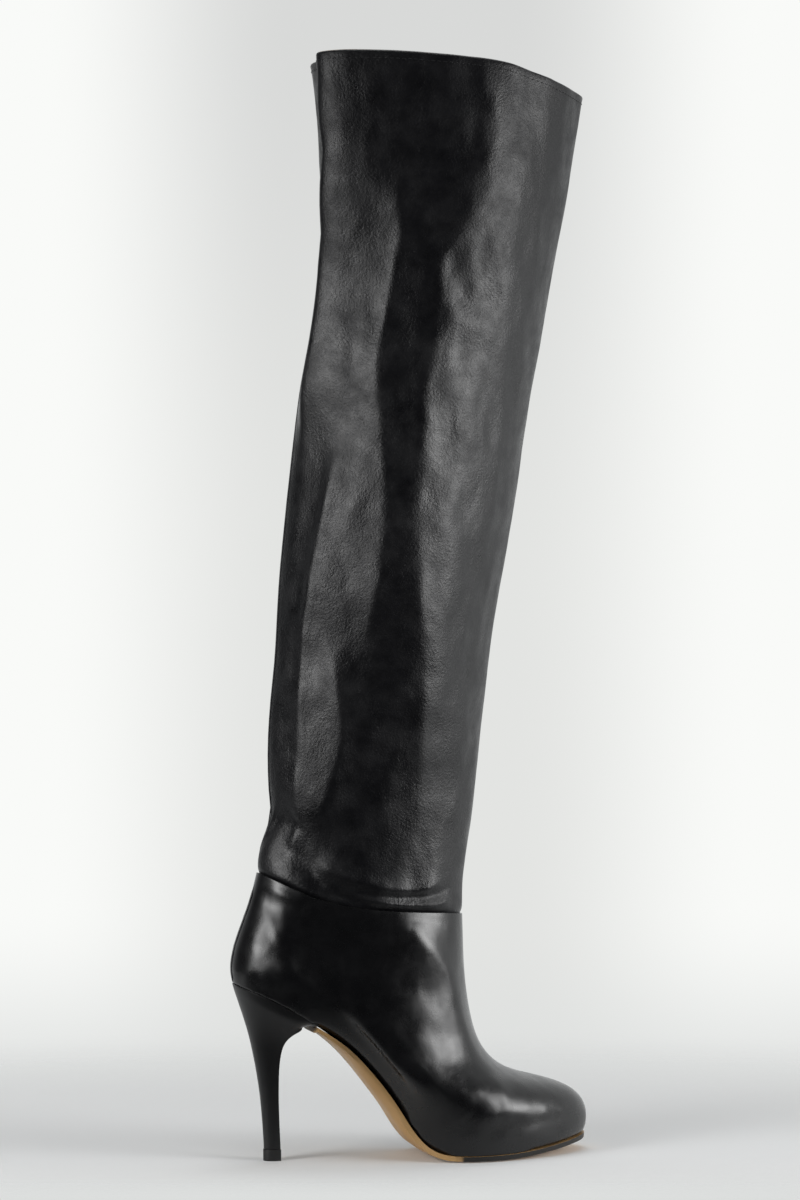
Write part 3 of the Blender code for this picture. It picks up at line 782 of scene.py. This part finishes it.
def add_stitches(bm, places, skin):
    """A row of lockstitches, each sunk by a third into the leather under it."""
    for centre, way in spaced(places, STITCH + STITCH_GAP):
        spot, up, _, _ = skin.find_nearest(centre)
        side = way.cross(up).normalized()
        up = side.cross(way)
        turned = Matrix((way, side, up)).transposed().to_4x4()
        sized = Matrix.Diagonal((STITCH / 2, THREAD / 2, THREAD / 2, 1))
        lifted = Matrix.Translation(spot + up * THREAD / 6)
        bmesh.ops.create_uvsphere(
            bm, u_segments=6, v_segments=4, radius=1.0, matrix=lifted @ turned @ sized
        )


def shaft_spot(skin, shaft_map, turn, height):
    """The skin's point at this turn, in degrees, and height."""
    back = np.interp(height, shaft_map.heights, shaft_map.backs)
    front = np.interp(height, shaft_map.heights, shaft_map.fronts)
    half = np.interp(height, shaft_map.heights, shaft_map.halves)
    turn = math.radians(turn)
    middle = Vector(((back + front) / 2, 0, height))
    way = Vector((-math.cos(turn) * (front - back) / 2, -math.sin(turn) * half, 0))
    spot, up, _, _ = skin.ray_cast(middle + way * FAR_OUT, -way)
    return (spot, up) if spot else None


def band_along(bm, spots, width, height):
    """A band through spots on a skin: pairs of place and outward way."""
    places = [spot for spot, _ in spots]
    ups = [up for _, up in spots]
    ways = [places[min(i + 1, len(places) - 1)] - places[max(i - 1, 0)] for i in range(len(places))]
    sides = [way.cross(up).normalized() for way, up in zip(ways, ups)]
    add_band(bm, places, sides, ups, width, height)


def make_seams(shaft_skin, shaft_map, rim, foot_skin):
    """The shaft's back seam, the foot part's back seam, and the row of stitches under the collar."""
    bm = bmesh.new()
    line = smooth_path([(turn, height * MM) for turn, height in BACK_SEAM], 12)
    spots = [shaft_spot(shaft_skin, shaft_map, turn, height) for turn, height in line]
    band_along(bm, [spot for spot in spots if spot], SEAM_BAND, SEAM_RISE)
    finished("back_seam", bm, [milled_nappa()], "shaft")

    bm = bmesh.new()
    low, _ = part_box("upper")
    spots = []
    for height in np.linspace(HEEL_SEAM[0] * MM, HEEL_SEAM[1] * MM, HEEL_SEAM_STEPS):
        start = Vector((low[0] - OUTSIDE, 0, height))
        spot, up, _, _ = foot_skin.ray_cast(start, Vector((1, 0, 0)))
        if spot:
            spots.append((spot, up))
    band_along(bm, spots, HEEL_BAND, SEAM_RISE)
    finished("heel_seam", bm, [polished_calf()], "upper")

    bm = bmesh.new()
    add_stitches(bm, rim + rim[:1], shaft_skin)
    finished("stitches", bm, [waxed_thread()], "thread")


def make_shaft():
    """Outer wall in nappa, turned over at the collar, and the lined wall inside it."""
    plain = smoothed(merged_copy("shaft"), 2)
    shaft_map = ShaftMap(positions(plain))
    plain.free()

    def middle(point):
        back = np.interp(point.z, shaft_map.heights, shaft_map.backs)
        front = np.interp(point.z, shaft_map.heights, shaft_map.fronts)
        return Vector(((back + front) / 2, 0, point.z))

    walls = []
    for outer, levels in ((True, 3), (False, 2)):
        cage = merged_copy("shaft")
        cage.normal_update()
        shell_side(cage, outer, middle)
        wall = smoothed(cage, levels)
        put_back(wall, fold_shaft(positions(wall), shaft_map))
        walls.append(wall)
    walls[0].normal_update()
    rim = [edge.verts[0].co.copy() for edge in border_loops(walls[0])[-1]]
    rim.sort(key=lambda spot: shaft_map.turn(spot))
    rim = [spot - Vector((0, 0, COLLAR_ROW)) for spot in rim]
    outer_mesh = bpy.data.meshes.new("outer_wall")
    walls[0].to_mesh(outer_mesh)
    skin = BVHTree.FromBMesh(walls[0])
    walls[0].free()

    bm = walls[1]
    for face in bm.faces:
        face.material_index = 1
    inner_edges = set(bm.edges)
    bm.from_mesh(outer_mesh)
    bpy.data.meshes.remove(outer_mesh)
    loops = border_loops(bm)
    bottoms = loops[:2]
    tops = loops[2:]
    outer_top = [loop for loop in tops if loop[0] not in inner_edges][0]
    inner_top = [loop for loop in tops if loop[0] in inner_edges][0]

    def inward(point):
        way = middle(point) - point
        return Vector((way.x, way.y * COLLAR_SQUARE, 0)).normalized()

    for vert in {vert for edge in outer_top for vert in edge.verts}:
        vert.co.z -= COLLAR_ROLL
    outer_top = roll_edge(bm, outer_top, inward, COLLAR_ROLL)
    bmesh.ops.bridge_loops(bm, edges=outer_top + inner_top)
    bmesh.ops.bridge_loops(bm, edges=bottoms[0] + bottoms[1])
    bmesh.ops.recalc_face_normals(bm, faces=bm.faces)
    finished("shaft_leather", bm, [milled_nappa(), goat_lining()], "shaft", "shaft")
    return skin, shaft_map, rim


def soften_waist(bm):
    """Rounds the corner where the foot part turns under at the waist, on both sides."""
    points = positions(bm)
    line = smooth_path(np.array(WAIST_CORNER, float) * MM)
    gaps = np.linalg.norm(points[:, None, [0, 2]] - line[None], axis=2).min(axis=1)
    near = (gaps < WAIST_REACH) & (np.abs(points[:, 1]) > SOLE_CORE)
    verts = [vert for vert, chosen in zip(bm.verts, near) if chosen]
    for _ in range(WAIST_ROUNDS):
        bmesh.ops.smooth_vert(
            bm, verts=verts, factor=0.5, use_axis_x=True, use_axis_y=True, use_axis_z=True
        )


def make_upper():
    """The foot part with its folds, softened at the waist and along its rims."""
    bm = merged_copy("upper")
    crease_corners(bm, RIM_CORNER)
    bm = smoothed(bm, 2)
    put_back(bm, fold_foot(positions(bm)))
    soften_waist(bm)
    bm.normal_update()
    skin = BVHTree.FromBMesh(bm)
    piece = finished("foot_leather", bm, [polished_calf()], "upper", "upper")
    round_rims(piece, RIM_ROUND)
    return skin


def make_insole():
    """The goatskin sock on the insole."""
    bm = merged_copy("insole")
    crease_corners(bm)
    bm = smoothed(bm, 2)
    for vert in bm.verts:
        vert.co.y *= SOCK_WIDTH
    piece = finished("insole_sock", bm, [goat_lining()], "insole", "insole")
    round_rims(piece, SOCK_ROUND)


def make_outsole():
    """The leather sole. Its wall is told from its faces by the way that the sole runs there."""
    bm = merged_copy("outsole")
    crease_corners(bm)
    bm = smoothed(bm, 3)
    bm.normal_update()
    centres = np.array([face.calc_center_median() for face in bm.faces])
    normals = np.array([face.normal for face in bm.faces])
    tread = (normals[:, 2] < TREAD_LIE) & (np.abs(centres[:, 1]) < SOLE_CORE)
    order = np.argsort(centres[tread, 0])
    places = centres[tread, 0][order]
    downwards = [np.interp(centres[:, 0], places, normals[tread, i][order]) for i in (0, 2)]
    lie = np.abs(normals[:, 0] * downwards[0] + normals[:, 2] * downwards[1])
    for face, flatness in zip(bm.faces, lie):
        face.material_index = int(flatness < WALL_LIE)
    for vert in bm.verts:
        down = Vector([np.interp(vert.co.x, places, normals[tread, i][order]) for i in range(3)])
        thin = 1 - float(smooth((vert.co.x - SOLE_BACK) / SOLE_EASE))
        vert.co -= down * (SOLE_THIN * thin * max(0.0, vert.normal.dot(down)))
    piece = finished(
        "sole_leather", bm, [vegetable_tanned_sole(), worn_sole_edge()], "outsole", "outsole"
    )
    round_rims(piece, SOLE_ROUND)


def make_heel():
    """The covered heel, drawn up a little at its breast to meet the sole."""
    bm = merged_copy("heel")
    crease_corners(bm)
    bm = smoothed(bm, 3)
    bm.normal_update()
    for vert in bm.verts:
        if vert.normal.z > HEEL_TOP_LIE:
            vert.co.z += HEEL_LIFT
        if vert.co.z > HEEL_SHOULDER:
            vert.co.z += BREAST_LIFT * float(smooth((vert.co.x - BREAST_START) / BREAST_EASE))
    piece = finished("covered_heel", bm, [heel_calf()], "heel", "heel")
    round_rims(piece, SOLE_ROUND)


def make_top_lift():
    """The hard tip under the heel."""
    bm = merged_copy("top_lift")
    crease_corners(bm)
    bm = smoothed(bm, 2)
    piece = finished("top_lift_tip", bm, [moulded_rubber()], "top_lift", "top_lift")
    round_rims(piece, TIP_ROUND)


def light_world():
    """A dark studio in front, a bright wall behind the boot, and a pale backdrop with painted shade: a
    painted shadow of the boot right behind it, and painted shade at its top and near the floor.
    """
    world = bpy.data.worlds.new("studio")
    bpy.context.scene.world = world
    world.use_nodes = True
    tree = world.node_tree
    tree.nodes.clear()
    way = node(tree, "ShaderNodeTexCoord").outputs["Generated"]
    brightest = FORWARD * math.cos(WALL_TURN) + RIGHT * math.sin(WALL_TURN)
    facing = node(
        tree, "ShaderNodeVectorMath", {0: way, 1: brightest}, operation="DOT_PRODUCT"
    ).outputs["Value"]
    behind = node(
        tree,
        "ShaderNodeMapRange",
        {"Value": facing, "From Min": ROOM_EDGE[0], "From Max": ROOM_EDGE[1]},
        interpolation_type="SMOOTHSTEP",
    ).outputs["Result"]
    room = node(
        tree,
        "ShaderNodeMix",
        {"Factor": behind, 6: linear(ROOM_COLOURS[0]), 7: linear(ROOM_COLOURS[1])},
        data_type="RGBA",
    ).outputs[2]
    # The backdrop seen by the camera carries painted shade: a painted shadow of the boot in its
    # middle, painted shade at the top and near the floor, and its plain bright tone to the sides
    sideways = node(
        tree, "ShaderNodeVectorMath", {0: way, 1: RIGHT}, operation="DOT_PRODUCT"
    ).outputs["Value"]
    off_middle = node(tree, "ShaderNodeMath", {0: sideways}, operation="ABSOLUTE").outputs[0]
    edge = node(
        tree,
        "ShaderNodeMapRange",
        {"Value": off_middle, "From Min": SIDE_EDGE[0], "From Max": SIDE_EDGE[1]},
        interpolation_type="SMOOTHSTEP",
    ).outputs["Result"]
    up = node(tree, "ShaderNodeSeparateXYZ", {"Vector": way}).outputs["Z"]
    high = node(
        tree,
        "ShaderNodeMapRange",
        {"Value": up, "From Min": TOP_EDGE[0], "From Max": TOP_EDGE[1]},
        interpolation_type="SMOOTHSTEP",
    ).outputs["Result"]
    middle = node(
        tree,
        "ShaderNodeMix",
        {"Factor": high, 6: linear(BOOT_SHADOW_COLOUR), 7: linear(SHADED_TOP_COLOUR)},
        data_type="RGBA",
    ).outputs[2]
    wide = node(
        tree,
        "ShaderNodeMix",
        {"Factor": edge, 6: middle, 7: linear(SIDE_COLOUR)},
        data_type="RGBA",
    ).outputs[2]
    low = node(
        tree,
        "ShaderNodeMapRange",
        {"Value": up, "From Min": LOW_EDGE[0], "From Max": LOW_EDGE[1]},
        interpolation_type="SMOOTHSTEP",
    ).outputs["Result"]
    backdrop = node(
        tree,
        "ShaderNodeMix",
        {"Factor": low, 6: wide, 7: linear(SHADED_LOW_COLOUR)},
        data_type="RGBA",
    ).outputs[2]
    mirrored = node(tree, "ShaderNodeLightPath").outputs["Is Glossy Ray"]
    fill = node(
        tree, "ShaderNodeMapRange", {"Value": mirrored, "To Min": WALL_FILL, "To Max": 1.0}
    ).outputs["Result"]
    lit = node(tree, "ShaderNodeBackground", {"Color": room, "Strength": fill})
    seen = node(tree, "ShaderNodeBackground", {"Color": backdrop, "Strength": 1.0})
    from_camera = node(tree, "ShaderNodeLightPath").outputs["Is Camera Ray"]
    both = node(tree, "ShaderNodeMixShader", {0: from_camera, 1: lit.outputs[0], 2: seen.outputs[0]})
    node(tree, "ShaderNodeOutputWorld", {"Surface": both.outputs[0]})


def add_floor():
    """A pale floor that fades out into the backdrop round the boot."""
    bm = bmesh.new()
    bmesh.ops.create_grid(bm, x_segments=1, y_segments=1, size=FLOOR_SIZE / 2)
    mesh = bpy.data.meshes.new("floor")
    bm.to_mesh(mesh)
    bm.free()
    floor = bpy.data.objects.new("floor", mesh)
    bpy.context.scene.collection.objects.link(floor)
    # Matt seamless paper: it takes soft shadows and shows no shine
    material, tree = new_material("matt_paper_floor")
    place = node(tree, "ShaderNodeTexCoord").outputs["Object"]
    turned = node(
        tree,
        "ShaderNodeMapping",
        {"Vector": place, "Rotation": (0, 0, CAMERA_YAW)},
        vector_type="POINT",
    )
    scaled = node(
        tree,
        "ShaderNodeVectorMath",
        {0: turned.outputs[0], 1: (1 / POOL_LENGTH, 1 / POOL_DEPTH, 0)},
        operation="MULTIPLY",
    )
    reach = node(tree, "ShaderNodeVectorMath", {0: scaled.outputs[0]}, operation="LENGTH")
    fade = node(
        tree,
        "ShaderNodeMapRange",
        {"Value": reach.outputs["Value"], "From Min": POOL_FADE[0], "From Max": POOL_FADE[1]},
        interpolation_type="SMOOTHSTEP",
    )
    towards = node(tree, "ShaderNodeSeparateXYZ", {"Vector": turned.outputs[0]}).outputs["Y"]
    front = node(
        tree,
        "ShaderNodeMapRange",
        {"Value": towards, "From Min": -FRONT_EDGE[1], "From Max": -FRONT_EDGE[0],
         "To Min": 1.0, "To Max": 0.0},
        interpolation_type="SMOOTHSTEP",
    ).outputs["Result"]
    gone = node(
        tree, "ShaderNodeMath", {0: fade.outputs["Result"], 1: front}, operation="MAXIMUM"
    ).outputs[0]
    paper = node(tree, "ShaderNodeBsdfDiffuse", {"Color": linear(FLOOR_COLOUR)})
    clear = node(tree, "ShaderNodeBsdfTransparent")
    both = node(
        tree,
        "ShaderNodeMixShader",
        {0: gone, 1: paper.outputs[0], 2: clear.outputs[0]},
    )
    close_material(tree, both)
    mesh.materials.append(material)


def add_softbox(name, side_angle, distance, height, width, tall, radiance):
    """A soft light round the boot, brighter in its middle."""
    angle = math.radians(side_angle)
    way = math.cos(angle) * -FORWARD + math.sin(angle) * RIGHT
    target = Vector((0, 0, LIGHTS_AIM))
    spot = Vector((way.x * distance, way.y * distance, height))
    light = bpy.data.lights.new(name, "AREA")
    light.shape = "RECTANGLE"
    light.size = width
    light.size_y = tall
    light.energy = radiance * math.pi * width * tall
    light.use_nodes = True
    tree = light.node_tree
    tree.nodes.clear()
    place = node(tree, "ShaderNodeNewGeometry").outputs["Parametric"]
    off = node(
        tree, "ShaderNodeVectorMath", {0: place, 1: (0.5, 0.5, 0)}, operation="SUBTRACT"
    ).outputs["Vector"]
    reach = node(tree, "ShaderNodeVectorMath", {0: off}, operation="LENGTH").outputs["Value"]
    core = node(
        tree,
        "ShaderNodeMapRange",
        {"Value": reach, "From Min": 0.0, "From Max": LIGHT_REACH, "To Min": LIGHT_CORE[0],
         "To Max": LIGHT_CORE[1]},
        interpolation_type="SMOOTHSTEP",
    ).outputs["Result"]
    cloth = node(tree, "ShaderNodeEmission", {"Strength": core})
    node(tree, "ShaderNodeOutputLight", {"Surface": cloth.outputs[0]})
    lamp = bpy.data.objects.new(name, light)
    lamp.location = spot
    lamp.rotation_euler = (target - spot).to_track_quat("-Z", "Y").to_euler()
    lamp.visible_camera = False
    bpy.context.scene.collection.objects.link(lamp)


def add_camera():
    """The photograph's camera."""
    camera = bpy.data.cameras.new("photo_camera")
    camera.sensor_fit = "VERTICAL"
    camera.sensor_height = FRAME_HEIGHT
    camera.lens = CAMERA_LENS
    viewer = bpy.data.objects.new("photo_camera", camera)
    viewer.location = CAMERA_AIM - FORWARD * CAMERA_DISTANCE
    viewer.rotation_euler = (math.pi / 2, 0, -CAMERA_YAW)
    bpy.context.scene.collection.objects.link(viewer)
    bpy.context.scene.camera = viewer


add_camera()
light_world()
for light_name, light_settings in SOFTBOXES.items():
    add_softbox(light_name, *light_settings)
add_floor()
LASTED_EDGE, SEAM_LINE = foot_lines()
shaft_parts = make_shaft()
make_seams(*shaft_parts, make_upper())
make_insole()
make_outsole()
make_heel()
make_top_lift()
bpy.context.scene.view_settings.view_transform = "Standard"
